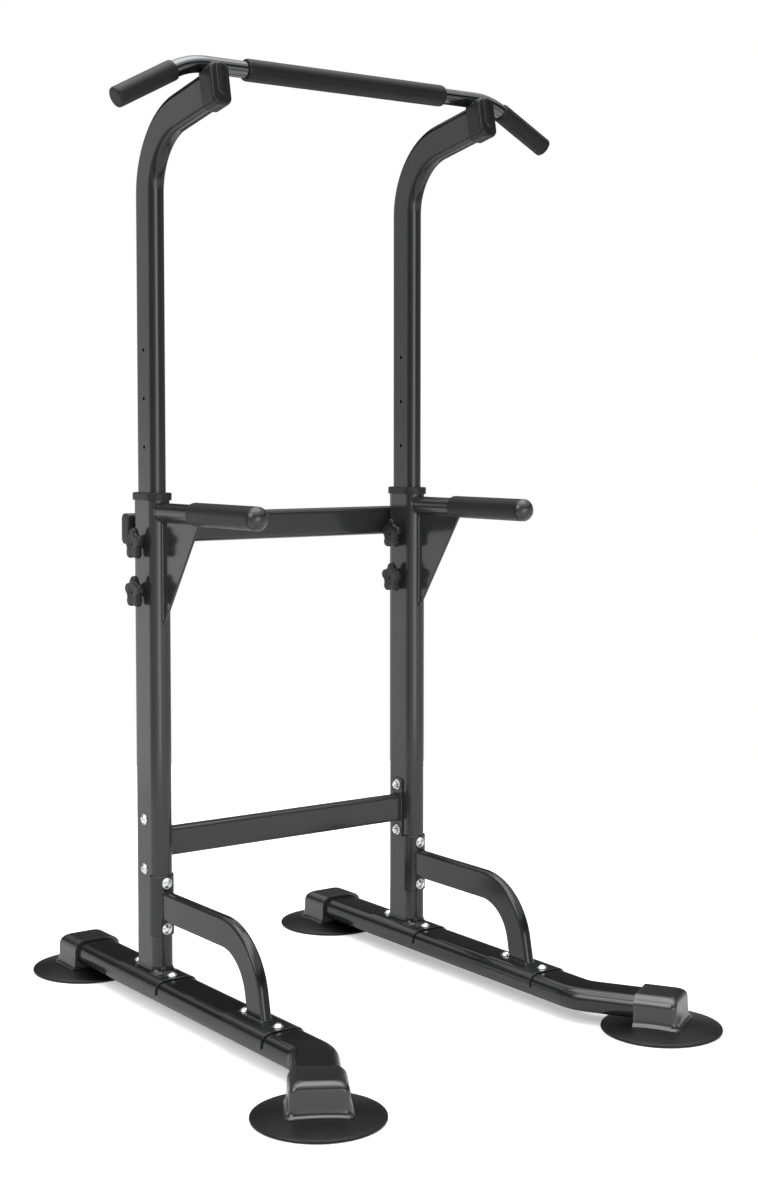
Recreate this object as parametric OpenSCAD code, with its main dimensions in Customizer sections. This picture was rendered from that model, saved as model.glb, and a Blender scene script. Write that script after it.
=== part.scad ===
/* [Base] */
// Distance between the two uprights, centre to centre
upright_pitch = 554; // [500:2:620]
// Distance between the front and the rear foot pads, centre to centre
foot_spread = 888; // [820:4:960]
// How far the uprights stand behind the middle of the base
upright_back = 183; // [160:1:210]
// Width of the base tubes and depth of the uprights
tube_long = 80; // [76:1:84]
// Height of the base tubes and width of the uprights
tube_short = 40; // [38:1:42]
// Corner radius of the base tubes and uprights
tube_round = 18; // [12:1:18]
// Wall thickness of every steel tube
wall = 2; // [1.5:0.5:2.5]
// Height of the base tubes' undersides above the floor
base_clear = 20; // [18:1:26]
// Angle at which the front ends of the base tubes splay outward
flare_angle = 31; // [15:1:40]
// Length of the splayed ends, from the bend to the pad centre
flare_len = 142; // [130:1:160]
// Radius of the bend in the base tubes
flare_bend = 65; // [60:1:90]
// Radius of the rubber foot pads
pad_r = 103; // [90:1:110]

/* [Uprights] */
// Height of the top of the lower tubes
upright_top = 892; // [880:1:960]
// Spacing of the height holes
hole_pitch = 84; // [80:1:88]
// Height of the lower locking pins
pin_low_z = 732; // [724:1:740]
// Height of the middle of the dip handles
dip_z = 872; // [868:1:874]
// Distance from the upright's middle to the dip handle's end
dip_reach = 349; // [300:1:400]
// Height of the middle of the lower crossbar
low_bar_z = 287; // [282:1:292]
// Height of the middle of the rear crossbar
mid_bar_z = 840; // [836:1:842]

/* [Braces] */
// Height of the straight part of the curved braces
brace_z = 182; // [176:1:190]
// Distance from the upright's middle to the brace foot
brace_reach = 352; // [345:1:365]
// Radius of the bend in the braces
brace_bend = 100; // [90:1:105]

/* [Masts and bar] */
// Width of the masts
mast_w = 30; // [26:1:31]
// Depth of the masts
mast_d = 64; // [60:1:66]
// Height of the lower end of the masts
mast_foot = 545; // [544:1:548]
// Height at which the masts start to bend
neck_z = 1420; // [1380:5:1480]
// Radius of the bend at the top of the masts
neck_bend = 128; // [110:1:150]
// Angle through which the masts bend
neck_angle = 79; // [70:1:85]
// Length of the straight neck after the bend
neck_len = 109; // [100:1:120]
// Diameter of the pull-up bar
bar_d = 28; // [25:1:32]
// Half width of the pull-up bar, to the corner where its ends turn down
bar_corner = 313; // [308:1:330]
// Angle at which the bar's ends slope down
bar_droop = 28; // [15:1:35]
// Length of each sloping end, from the corner
bar_arm = 150; // [140:1:180]
// Radius of the bends in the pull-up bar
bar_bend = 130; // [100:5:130]

/* [Hidden] */
$fn = 64;

// Clearances: between sliding bodies, round a running pin, and round a bolt
slide_gap = 0.3;
pin_gap = 0.05;
bolt_gap = 0.25;
eps = 0.01;

// Straight tubes lap this far into a bend, whose wall is this much fatter
join_lap = 1;
join_step = 0.05;

// Plates and fasteners
plate = 3;
bolt_d = 8;
head_d = 17;
head_h = 5;
washer_d = 19;
washer_h = 1.2;
nut_across = 13;
nut_h = 5;
wall_crown = 1.1;

// Base
tube_x = upright_pitch / 2;
base_top = base_clear + tube_short;
base_mid_z = base_clear + tube_short / 2;
pad_y = foot_spread / 2;
bend_y = -pad_y + flare_len * cos(flare_angle);
bend_tangent = flare_bend * tan(flare_angle / 2);
pad_front_x = tube_x + flare_len * sin(flare_angle);
pad_plateau = 13;
stem_r = 15;
cap_w = 92;
cap_len = 74;
cap_wall = 4;
cap_top = base_top + 5;
tube_past_pad = cap_len / 2 - cap_wall;

// Uprights
saddle_half = 75;
saddle_bolt_y = 59;
saddle_top = base_top + plate;
flap_z = 38;
pin_d = 10;
pin_heights = [pin_low_z, pin_low_z + hole_pitch];
pin_travel = 6;
pin_retreat = 0.6;
nose_d = 6.4;
nose_len = pin_travel + 0.2;
boss_d = 20;
boss_proud = 1.5;
collar_h = 13;
collar_sleeve = 24;
collar_lip = 3.5;

// Braces
brace_w = 20;
brace_h = 52;
brace_round = 7;
brace_angle = 78;
brace_plate_h = 106;
brace_wrap = 17;
brace_bolt_z = 40.5;
foot_half = 65;
foot_bolt_y = 50;
brace_lean = 12;
brace_rise = brace_z - brace_bend;

// Crossbars
low_bar_h = 50;
low_bar_d = 26;
low_bolt_z = 44;
low_plate_h = 114;
low_plate_w = 30;
mid_bar_h = 54;
mid_bar_d = 26;
mid_bar_over = 6;
plug_wall = 3;
bar_round = 6;
mid_bar_round = 10;

// Dip handles
handle_d = 32;
foam_d = 40;
foam_start = 148;
grip_cap_rise = 14;
grip_cap_r = (pow(foam_d / 2, 2) + pow(grip_cap_rise, 2)) / (2 * grip_cap_rise);
gusset_t = 5;
gusset_top = 163;
gusset_foot = 678;

// Masts
mast_round = 13;
hole_d = 7;
holes_below = 2;
holes_above = 5;
glide_h = 20;
glide_plug = 22;
neck_tip_y = -neck_bend * (1 - cos(neck_angle)) - neck_len * sin(neck_angle);
neck_tip_z = neck_z + neck_bend * sin(neck_angle) + neck_len * cos(neck_angle);
bracket_wall = 3;
bracket_front = 33;
bracket_top = 38;
bracket_back = 6;
bar_back = 4.6;
bar_above = 44.6;
neck_tilt = 90 - neck_angle;
bar_y = upright_back + neck_tip_y + bar_back * cos(neck_tilt) + bar_above * sin(neck_tilt);
bar_z = neck_tip_z - bar_back * sin(neck_tilt) + bar_above * cos(neck_tilt);
bar_tangent = bar_bend * tan(bar_droop / 2);
grip_mid_half = 205;
grip_mid_d = 38;
grip_end_d = 35;

// Knobs
knob_r = 28.5;
knob_t = 10.5;
knob_hub_r = 13;
knob_hub = 3;
lobes = 5;

paint = "#2b2b2e";
foam = "#1a1a1b";
plastic = "#4a4b4d";
steel = "#b9bcc0";

// Flat shapes and tubes

module rounded_rect(w, d, r) {
    square([w - 2 * r, d], center = true);
    square([w, d - 2 * r], center = true);
    for (sx = [-1, 1], sy = [-1, 1])
        translate([sx * (w / 2 - r), sy * (d / 2 - r)])
            circle(r = r);
}

module tube_section(w, d, r, grow = 0) {
    inset = 2 * (wall + grow);
    difference() {
        rounded_rect(w + 2 * grow, d + 2 * grow, r + grow);
        rounded_rect(w - inset, d - inset, r - wall - grow);
    }
}

// A bent tube: turns the children's section about a centre bend_r to their left
module tube_bend(bend_r, from, angle) {
    rotate_extrude(angle = angle, start = from)
        translate([bend_r, 0]) children();
}

// Puts the children, drawn for the right-hand side, on one side
module on_side(side) {
    if (side < 0)
        mirror([1, 0, 0]) children();
    else
        children();
}

// Turns an upright extrusion so that it runs toward the front
module toward_front() {
    rotate([90, 0, 0]) children();
}

// Turns an upright extrusion so that it runs toward +X
module toward_right() {
    rotate([0, 90, 0]) children();
}

// Fasteners, drawn pointing up: the head sits on z = 0 and the shank runs down

module dome_head() {
    dome_r = (pow(head_d / 2, 2) + pow(head_h, 2)) / (2 * head_h);
    translate([0, 0, washer_h])
        intersection() {
            translate([0, 0, head_h - dome_r]) sphere(r = dome_r);
            cylinder(d = head_d, h = head_h);
        }
    cylinder(d = washer_d, h = washer_h);
}

module bolt(shank) {
    dome_head();
    translate([0, 0, -shank]) cylinder(d = bolt_d, h = shank + eps);
}

module hex_nut(h = nut_h) {
    difference() {
        cylinder(d = nut_across / cos(30), h = h, $fn = 6);
        translate([0, 0, -1]) cylinder(d = bolt_d, h = h + 2);
    }
}

module bolt_hole(depth) {
    translate([0, 0, -depth / 2])
        cylinder(d = bolt_d + 2 * bolt_gap, h = depth);
}

// Base tubes and feet

module base_section(grow = 0) {
    tube_section(tube_long, tube_short, tube_round, grow);
}

module base_holes() {
    for (dy = [-saddle_bolt_y, saddle_bolt_y])
        translate([tube_x, upright_back + dy, base_top]) bolt_hole(4 * wall);
    for (dy = [-foot_bolt_y, foot_bolt_y])
        translate([tube_x, upright_back - brace_reach + dy, base_top]) bolt_hole(4 * wall);
}

module base_tube(side) {
    rear_end = pad_y + tube_past_pad;
    color(paint) on_side(side) difference() {
        translate([0, 0, base_mid_z]) {
            translate([tube_x, rear_end, 0])
                toward_front()
                    linear_extrude(rear_end - bend_y - bend_tangent + join_lap) base_section();
            translate([tube_x + flare_bend, bend_y + bend_tangent, 0])
                tube_bend(flare_bend, 180, flare_angle) base_section(join_step);
            translate([tube_x, bend_y, 0])
                rotate([0, 0, flare_angle])
                    translate([0, join_lap - bend_tangent, 0])
                        toward_front()
                            linear_extrude(flare_len + tube_past_pad - bend_tangent + join_lap)
                                base_section();
        }
        base_holes();
    }
}

// Places a foot drawn at the origin, pointing to -Y, under one tube end
module at_foot(side, front) {
    on_side(side)
        if (front)
            translate([pad_front_x, -pad_y, 0]) rotate([0, 0, flare_angle]) children();
        else
            translate([tube_x, pad_y, 0]) rotate([0, 0, 180]) children();
}

module foot_cap(side, front) {
    lip = 3;
    lip_h = 4;
    shoulder = 20;
    color(plastic) at_foot(side, front) difference() {
        union() {
            intersection() {
                translate([0, 0, cap_top / 2])
                    rotate([90, 0, 0])
                        linear_extrude(cap_len, center = true)
                            rounded_rect(cap_w, cap_top, shoulder);
                translate([0, 0, pad_plateau])
                    linear_extrude(cap_top)
                        foot_plan(cap_w, cap_len);
            }
            translate([0, 0, pad_plateau])
                linear_extrude(lip_h)
                    foot_plan(cap_w + 2 * lip, cap_len + 2 * lip);
        }
        translate([0, cap_wall + 1 / 2, base_mid_z])
            rotate([90, 0, 0])
                linear_extrude(cap_len + 1, center = true)
                    rounded_rect(tube_long, tube_short, tube_round);
        cylinder(r = stem_r, h = base_mid_z);
        translate([-cap_w, cap_len / 2, 0]) cube([2 * cap_w, cap_len, 2 * cap_top]);
    }
}

// Plan of a foot cap: square toward the tube, rounded at the closed end
module foot_plan(w, len) {
    corner = 14;
    intersection() {
        translate([0, corner / 2]) rounded_rect(w, len + corner, corner);
        square([w, len], center = true);
    }
}

module foot_pad(side, front) {
    rim = 3;
    hollow = 3;
    color("#1d1d1f") at_foot(side, front)
        rotate_extrude()
            polygon([
                [0, hollow], [60, hollow], [90, 0], [pad_r, 0], [pad_r, rim],
                [pad_r - 3, rim + 2.5], [62, pad_plateau],
                [stem_r, pad_plateau], [stem_r, base_clear], [0, base_clear]
            ]);
}

// Uprights

module upright(side) {
    color(paint) difference() {
        translate([side * tube_x, upright_back, saddle_top])
            linear_extrude(upright_top - saddle_top)
                tube_section(tube_short, tube_long, tube_round);
        for (z = pin_heights)
            translate([side * tube_x - tube_short / 2, upright_back, z])
                toward_right() cylinder(d = boss_d, h = 4 * wall, center = true);
        for (dz = [-low_bolt_z, low_bolt_z])
            translate([side * tube_x, upright_back, low_bar_z + dz])
                toward_right()
                    cylinder(d = bolt_d + 2 * bolt_gap, h = 2 * tube_short, center = true);
        translate([side * tube_x, upright_back + tube_long / 2, mid_bar_z])
            toward_front() bolt_hole(4 * wall);
        for (dz = [-brace_bolt_z, brace_bolt_z])
            translate([side * tube_x, upright_back - tube_long / 2, brace_z + dz])
                toward_front() bolt_hole(4 * wall);
    }
}

// Plate bent over the top and sides of a base tube, with two bolt holes
module tube_wrap(half, bolt_y) {
    difference() {
        rotate([90, 0, 0])
            linear_extrude(2 * half, center = true)
                intersection() {
                    difference() {
                        rounded_rect(tube_long + 2 * plate, tube_short + 2 * plate, tube_round + plate);
                        rounded_rect(tube_long, tube_short, tube_round);
                    }
                    translate([0, tube_short / 2 + flap_z - base_mid_z])
                        square([2 * tube_long, tube_short], center = true);
                }
        for (dy = [-bolt_y, bolt_y])
            translate([0, dy, tube_short / 2]) bolt_hole(6 * plate);
    }
}

module upright_saddle(side) {
    color(paint)
        translate([side * tube_x, upright_back, base_mid_z])
            tube_wrap(saddle_half, saddle_bolt_y);
}

// Bolt with its washer above the plate and its nut under the tube's wall, which is
// hollowed by crown where the wall is curved
module tube_bolt(crown = 0) {
    under = plate + wall + crown + nut_h;
    bolt(under + 2);
    translate([0, 0, -under]) hex_nut();
}

module saddle_bolts() {
    color(steel) for (side = [-1, 1], dy = [-saddle_bolt_y, saddle_bolt_y])
        translate([side * tube_x, upright_back + dy, saddle_top]) tube_bolt();
}

module collar(side) {
    fit = 0.1;
    color(plastic)
        translate([side * tube_x, upright_back, upright_top])
            difference() {
                union() {
                    linear_extrude(collar_h)
                        rounded_rect(tube_short + 2 * collar_lip, tube_long + 2 * collar_lip,
                            tube_round + collar_lip);
                    translate([0, 0, -collar_sleeve])
                        linear_extrude(collar_sleeve + eps)
                            rounded_rect(tube_short - 2 * wall - fit, tube_long - 2 * wall - fit,
                                tube_round - wall);
                }
                translate([0, 0, -collar_sleeve - 1])
                    linear_extrude(collar_sleeve + collar_h + 2)
                        rounded_rect(mast_w + 2 * slide_gap, mast_d + 2 * slide_gap,
                            mast_round + slide_gap);
            }
}

// Face of an upright that carries its locking pins, at one pin's height
module at_pin(side, z) {
    translate([side * tube_x - tube_short / 2, upright_back, z]) children();
}

module pin_bosses(side) {
    inner = (tube_short - mast_w) / 2 - pin_retreat;
    color(steel) for (z = pin_heights)
        at_pin(side, z) toward_right() difference() {
            translate([0, 0, -boss_proud]) cylinder(d = boss_d, h = boss_proud + inner);
            translate([0, 0, -2 * boss_proud])
                cylinder(d = pin_d + 2 * pin_gap, h = 2 * boss_proud + inner + 1);
        }
}

// Braces

module brace_section(grow = 0) {
    tube_section(brace_h, brace_w, brace_round, grow);
}

module brace(side) {
    start_y = tube_long / 2 + plate;
    bend_start = brace_reach - brace_bend - brace_lean;
    color(paint)
        translate([side * tube_x, upright_back, 0]) difference() {
            union() {
                translate([0, -start_y, brace_z])
                    toward_front()
                        linear_extrude(bend_start - start_y + join_lap)
                            rotate([0, 0, 90]) brace_section();
                translate([0, -bend_start, brace_rise])
                    rotate([90, 0, 90]) {
                        tube_bend(brace_bend, 90, brace_angle) brace_section(join_step);
                        rotate([0, 0, 90 + brace_angle])
                            translate([brace_bend, -join_lap, 0])
                                rotate([-90, 0, 0]) linear_extrude(brace_bend) brace_section();
                    }
            }
            translate([-tube_long / 2, -2 * brace_reach, 0])
                cube([tube_long, 2 * brace_reach, saddle_top]);
        }
}

module brace_plates(side) {
    color(paint) {
        translate([side * tube_x, upright_back, brace_z]) difference() {
            linear_extrude(brace_plate_h, center = true)
                intersection() {
                    difference() {
                        rounded_rect(tube_short + 2 * plate, tube_long + 2 * plate, tube_round + plate);
                        rounded_rect(tube_short, tube_long, tube_round);
                    }
                    translate([0, -tube_long + brace_wrap])
                        square([2 * tube_long, tube_long], center = true);
                }
            for (dz = [-brace_bolt_z, brace_bolt_z])
                translate([0, -tube_long / 2, dz]) toward_front() bolt_hole(6 * plate);
        }
        translate([side * tube_x, upright_back - brace_reach, base_mid_z])
            tube_wrap(foot_half, foot_bolt_y);
    }
}

module brace_bolts() {
    color(steel) for (side = [-1, 1]) {
        for (dz = [-brace_bolt_z, brace_bolt_z])
            translate([side * tube_x, upright_back - tube_long / 2 - plate, brace_z + dz])
                toward_front() tube_bolt(wall_crown);
        for (dy = [-foot_bolt_y, foot_bolt_y])
            translate([side * tube_x, upright_back - brace_reach + dy, saddle_top]) tube_bolt();
    }
}

// Lower crossbar

inner_x = tube_x - tube_short / 2;

module lower_crossbar() {
    length = 2 * (inner_x - plate);
    color(paint)
        translate([0, upright_back, low_bar_z])
            rotate([90, 0, 90])
                linear_extrude(length, center = true)
                    tube_section(low_bar_d, low_bar_h, bar_round);
}

module lower_crossbar_plates() {
    color(paint) for (side = [-1, 1]) on_side(side)
        translate([inner_x - plate, upright_back, low_bar_z]) difference() {
            rotate([90, 0, 90])
                linear_extrude(plate) rounded_rect(low_plate_w, low_plate_h, bar_round);
            for (dz = [-low_bolt_z, low_bolt_z])
                translate([0, 0, dz]) toward_right() bolt_hole(6 * plate);
        }
}

module lower_crossbar_bolts() {
    color(steel) for (side = [-1, 1], dz = [-low_bolt_z, low_bolt_z]) on_side(side)
        translate([tube_x + tube_short / 2, upright_back, low_bar_z + dz])
            toward_right() bolt(tube_short + plate + washer_h + nut_h + 3);
}

module lower_crossbar_nuts() {
    color(steel) for (side = [-1, 1], dz = [-low_bolt_z, low_bolt_z]) on_side(side)
        translate([inner_x - plate, upright_back, low_bar_z + dz])
            rotate([0, -90, 0]) {
                difference() {
                    cylinder(d = washer_d, h = washer_h);
                    translate([0, 0, -1]) cylinder(d = bolt_d, h = washer_h + 2);
                }
                translate([0, 0, washer_h]) hex_nut();
            }
}

// Rear crossbar

mid_bar_y = upright_back + tube_long / 2 + mid_bar_d / 2;
mid_bar_half = tube_x + tube_short / 2 + mid_bar_over - plug_wall;

module rear_crossbar() {
    color(paint) difference() {
        translate([0, mid_bar_y, mid_bar_z])
            rotate([90, 0, 90])
                linear_extrude(2 * mid_bar_half, center = true)
                    tube_section(mid_bar_d, mid_bar_h, mid_bar_round);
        for (side = [-1, 1])
            translate([side * tube_x, mid_bar_y, mid_bar_z])
                toward_front() bolt_hole(2 * mid_bar_d);
    }
}

module rear_crossbar_plugs() {
    plug_in = 14;
    color(plastic) for (side = [-1, 1]) on_side(side)
        translate([mid_bar_half, mid_bar_y, mid_bar_z])
            rotate([90, 0, 90]) {
                linear_extrude(plug_wall) rounded_rect(mid_bar_d, mid_bar_h, mid_bar_round);
                translate([0, 0, -plug_in])
                    linear_extrude(plug_in + eps)
                        rounded_rect(mid_bar_d - 2 * wall, mid_bar_h - 2 * wall,
                            mid_bar_round - wall);
            }
}

module rear_crossbar_bolts() {
    thin_nut = 4;
    color(steel) for (side = [-1, 1])
        translate([side * tube_x, mid_bar_y + mid_bar_d / 2, mid_bar_z])
            rotate([-90, 0, 0]) {
                bolt(mid_bar_d + wall + wall_crown + thin_nut);
                translate([0, 0, -mid_bar_d - wall - wall_crown - thin_nut]) hex_nut(thin_nut);
            }
}

// Dip handles

module dip_handle(side) {
    color(paint)
        translate([side * tube_x, upright_back, 0]) difference() {
            translate([0, 0, dip_z])
                toward_front() difference() {
                    cylinder(d = handle_d, h = dip_reach - 2);
                    translate([0, 0, -1]) cylinder(d = handle_d - 2 * wall, h = dip_reach);
                }
            linear_extrude(2 * dip_z) rounded_rect(tube_short, tube_long, tube_round);
        }
}

module dip_gusset(side) {
    color(paint)
        translate([side * tube_x - gusset_t / 2, upright_back, 0])
            rotate([90, 0, 90])
                linear_extrude(gusset_t)
                    polygon([
                        [-tube_long / 2, dip_z - handle_d / 2], [-gusset_top, dip_z - handle_d / 2],
                        [-gusset_top, dip_z - handle_d / 2 - 2],
                        [-tube_long / 2 - 4, gusset_foot + 2], [-tube_long / 2, gusset_foot]
                    ]);
}

module dip_grip(side) {
    color(foam)
        translate([side * tube_x, upright_back - foam_start, dip_z])
            toward_front() difference() {
                cylinder(d = foam_d, h = dip_reach - foam_start - 2);
                translate([0, 0, -1]) cylinder(d = handle_d, h = dip_reach);
                translate([-gusset_t / 2, -foam_d, -1])
                    cube([gusset_t, foam_d - handle_d / 2 + 1, gusset_top - foam_start + 1 + eps]);
            }
}

module dip_end_cap(side) {
    color(plastic)
        translate([side * tube_x, upright_back - dip_reach + 2, dip_z])
            toward_front() {
                intersection() {
                    translate([0, 0, grip_cap_rise - grip_cap_r]) sphere(r = grip_cap_r);
                    cylinder(d = 2 * foam_d, h = foam_d);
                }
                translate([0, 0, -18]) cylinder(d = handle_d - 2 * wall, h = 18 + eps);
            }
}

// Masts, drawn with the upright's axis on Z

module mast_section(grow = 0) {
    tube_section(mast_w, mast_d, mast_round, grow);
}

// Frame at the mast's tip: +Z runs out along the neck and +Y is its upper side
module at_neck_tip() {
    translate([0, neck_tip_y, neck_tip_z])
        rotate([90 - neck_tilt, 0, 0]) children();
}

module bar_saddle(gap = 0) {
    translate([0, bar_above, -bar_back])
        toward_right() cylinder(d = bar_d + 2 * gap, h = 4 * mast_w, center = true);
}

module mast(side) {
    color(paint) translate([side * tube_x, upright_back, 0]) difference() {
        union() {
            translate([0, 0, mast_foot])
                linear_extrude(neck_z - mast_foot + join_lap) mast_section();
            translate([0, -neck_bend, neck_z])
                rotate([90, 0, 90])
                    tube_bend(neck_bend, 0, neck_angle) rotate([0, 0, 90]) mast_section(join_step);
            at_neck_tip()
                translate([0, 0, -neck_len - join_lap])
                    linear_extrude(neck_len + join_lap) mast_section();
        }
        at_neck_tip() bar_saddle();
        for (k = [-holes_below : holes_above])
            translate([-mast_w / 2, 0, pin_low_z + k * hole_pitch])
                toward_right() cylinder(d = hole_d, h = 4 * wall, center = true);
    }
}

module mast_glide(side) {
    color(plastic) translate([side * tube_x, upright_back, mast_foot]) difference() {
        union() {
            translate([0, 0, -glide_h])
                linear_extrude(glide_h)
                    rounded_rect(tube_short - 2 * wall - 2 * slide_gap,
                        tube_long - 2 * wall - 2 * slide_gap, tube_round - wall - slide_gap);
            translate([0, 0, -eps])
                linear_extrude(glide_plug)
                    rounded_rect(mast_w - 2 * wall, mast_d - 2 * wall, mast_round - wall);
        }
        translate([-mast_w / 2, 0, pin_low_z - holes_below * hole_pitch - mast_foot])
            toward_right() cylinder(d = hole_d, h = 2 * pin_travel + 4, center = true);
    }
}

module bar_bracket(side) {
    rib_r = 8;
    rib_half = 24;
    shell_mid = (bracket_top - mast_d / 2 - bracket_wall) / 2;
    shell_h = bracket_top + mast_d / 2 + bracket_wall;
    color(paint) translate([side * tube_x, upright_back, 0]) at_neck_tip() {
        difference() {
            translate([0, shell_mid, -bracket_back])
                linear_extrude(bracket_front + bracket_back)
                    rounded_rect(mast_w + 2 * bracket_wall, shell_h, mast_round);
            translate([0, shell_mid, -bracket_back - 1])
                linear_extrude(bracket_front + bracket_back + 1 - bracket_wall)
                    rounded_rect(mast_w, shell_h - 2 * bracket_wall, mast_round - bracket_wall);
            bar_saddle();
        }
        intersection() {
            translate([0, shell_mid, bracket_front + 3 - rib_r]) {
                rotate([90, 0, 0]) cylinder(r = rib_r, h = 2 * rib_half, center = true);
                for (end = [-1, 1])
                    translate([0, end * rib_half, 0]) sphere(r = rib_r);
            }
            translate([-mast_w / 2, -mast_d, bracket_front - eps]) cube([mast_w, 2 * mast_d, 2 * rib_r]);
        }
    }
}

// Pull-up bar

module bar_section(grow = 0) {
    difference() {
        circle(d = bar_d + 2 * grow);
        circle(d = bar_d - 2 * wall - 2 * grow);
    }
}

// Places children drawn along +Z on one sloping end of the bar
module on_bar_arm(side) {
    translate([0, bar_y, bar_z]) on_side(side)
        translate([bar_corner, 0, 0]) rotate([0, 90 + bar_droop, 0]) children();
}

module pull_up_bar() {
    bend_x = bar_corner - bar_tangent;
    color(steel) {
        translate([0, bar_y, bar_z]) {
            toward_right() linear_extrude(2 * (bend_x + join_lap), center = true) bar_section();
            for (side = [-1, 1]) on_side(side)
                translate([bend_x, 0, -bar_bend])
                    rotate([90, 0, 0])
                        tube_bend(bar_bend, 90 - bar_droop, bar_droop) bar_section(join_step);
        }
        for (side = [-1, 1]) on_bar_arm(side)
            translate([0, 0, bar_tangent - join_lap])
                linear_extrude(bar_arm - bar_tangent + join_lap - 2) bar_section();
    }
}

module bar_grip_center() {
    color(foam) translate([0, bar_y, bar_z])
        toward_right() difference() {
            cylinder(d = grip_mid_d, h = 2 * grip_mid_half, center = true);
            cylinder(d = bar_d, h = 2 * grip_mid_half + 2, center = true);
        }
}

module bar_grip(side) {
    color(foam) on_bar_arm(side) difference() {
        translate([0, 0, bar_tangent]) cylinder(d = grip_end_d, h = bar_arm - bar_tangent);
        cylinder(d = bar_d, h = bar_arm + 1);
    }
}

module bar_end_plugs() {
    head = 2.5;
    plug_in = 16;
    color(plastic) for (side = [-1, 1]) on_bar_arm(side) {
        translate([0, 0, bar_arm - 2]) cylinder(d = bar_d, h = head + 2);
        translate([0, 0, bar_arm - 2 - plug_in])
            cylinder(d = bar_d - 2 * wall, h = plug_in + eps);
    }
}

// Locking pins and knobs, drawn with the pin along +X from the upright's face

module locking_pin(side, z) {
    tip = (tube_short - mast_w) / 2 - pin_retreat;
    outer = boss_proud + pin_travel + pin_retreat + knob_hub + knob_t - 3;
    color(steel) at_pin(side, z) toward_right() {
        translate([0, 0, -outer]) cylinder(d = pin_d, h = outer + tip - nose_len);
        translate([0, 0, tip - nose_len - eps]) cylinder(d = nose_d, h = nose_len - 1.5 + eps);
        translate([0, 0, tip - 1.5 - eps]) cylinder(d1 = nose_d, d2 = nose_d - 2, h = 1.5 + eps);
    }
}

module star_outline(r) {
    lobe_r = 8.5;
    circle(r = r - lobe_r + 2);
    for (i = [0 : lobes - 1])
        rotate([0, 0, 180 + i * 360 / lobes])
            translate([r - lobe_r, 0]) circle(r = lobe_r);
}

module knob(side, z) {
    back = boss_proud + pin_travel + pin_retreat;
    outer = back + knob_hub + knob_t;
    edge = 3;
    color(plastic) at_pin(side, z) toward_right() difference() {
        union() {
            intersection() {
                translate([0, 0, -outer]) linear_extrude(knob_t) star_outline(knob_r);
                translate([0, 0, -outer])
                    rotate_extrude()
                        polygon([
                            [0, 0], [knob_r - 2 * edge, 0], [knob_r - edge / 2, edge / 2],
                            [knob_r, edge], [knob_r, knob_t - edge / 2],
                            [knob_r - edge / 2, knob_t], [0, knob_t]
                        ]);
            }
            translate([0, 0, -back - knob_hub - eps]) cylinder(r = knob_hub_r, h = knob_hub + eps);
        }
        translate([0, 0, -outer + 3]) cylinder(d = pin_d, h = outer);
    }
}

base_tube(-1);  // base_tube_left
base_tube(1);  // base_tube_right
foot_cap(-1, true);  // foot_cap_front_left
foot_cap(1, true);  // foot_cap_front_right
foot_cap(-1, false);  // foot_cap_rear_left
foot_cap(1, false);  // foot_cap_rear_right
foot_pad(-1, true);  // foot_pad_front_left
foot_pad(1, true);  // foot_pad_front_right
foot_pad(-1, false);  // foot_pad_rear_left
foot_pad(1, false);  // foot_pad_rear_right
upright(-1);  // upright_left
upright(1);  // upright_right
upright_saddle(-1);  // upright_saddle_left
upright_saddle(1);  // upright_saddle_right
saddle_bolts();
collar(-1);  // collar_left
collar(1);  // collar_right
pin_bosses(-1);  // pin_bosses_left
pin_bosses(1);  // pin_bosses_right
brace(-1);  // brace_left
brace(1);  // brace_right
brace_plates(-1);  // brace_plates_left
brace_plates(1);  // brace_plates_right
brace_bolts();
lower_crossbar();
lower_crossbar_plates();
lower_crossbar_bolts();
lower_crossbar_nuts();
rear_crossbar();
rear_crossbar_plugs();
rear_crossbar_bolts();
dip_handle(-1);  // dip_handle_left
dip_handle(1);  // dip_handle_right
dip_gusset(-1);  // dip_gusset_left
dip_gusset(1);  // dip_gusset_right
dip_grip(-1);  // dip_grip_left
dip_grip(1);  // dip_grip_right
dip_end_cap(-1);  // dip_end_cap_left
dip_end_cap(1);  // dip_end_cap_right
mast(-1);  // mast_left
mast(1);  // mast_right
mast_glide(-1);  // mast_glide_left
mast_glide(1);  // mast_glide_right
bar_bracket(-1);  // bar_bracket_left
bar_bracket(1);  // bar_bracket_right
pull_up_bar();
bar_grip_center();
bar_grip(-1);  // bar_grip_left
bar_grip(1);  // bar_grip_right
bar_end_plugs();
locking_pin(-1, pin_heights[0]);  // pin_left_lower
locking_pin(-1, pin_heights[1]);  // pin_left_upper
locking_pin(1, pin_heights[0]);  // pin_right_lower
locking_pin(1, pin_heights[1]);  // pin_right_upper
knob(-1, pin_heights[0]);  // knob_left_lower
knob(-1, pin_heights[1]);  // knob_left_upper
knob(1, pin_heights[0]);  // knob_right_lower
knob(1, pin_heights[1]);  // knob_right_upper
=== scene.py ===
import math
import random

import bmesh
import bpy
from mathutils import Matrix, Vector


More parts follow.
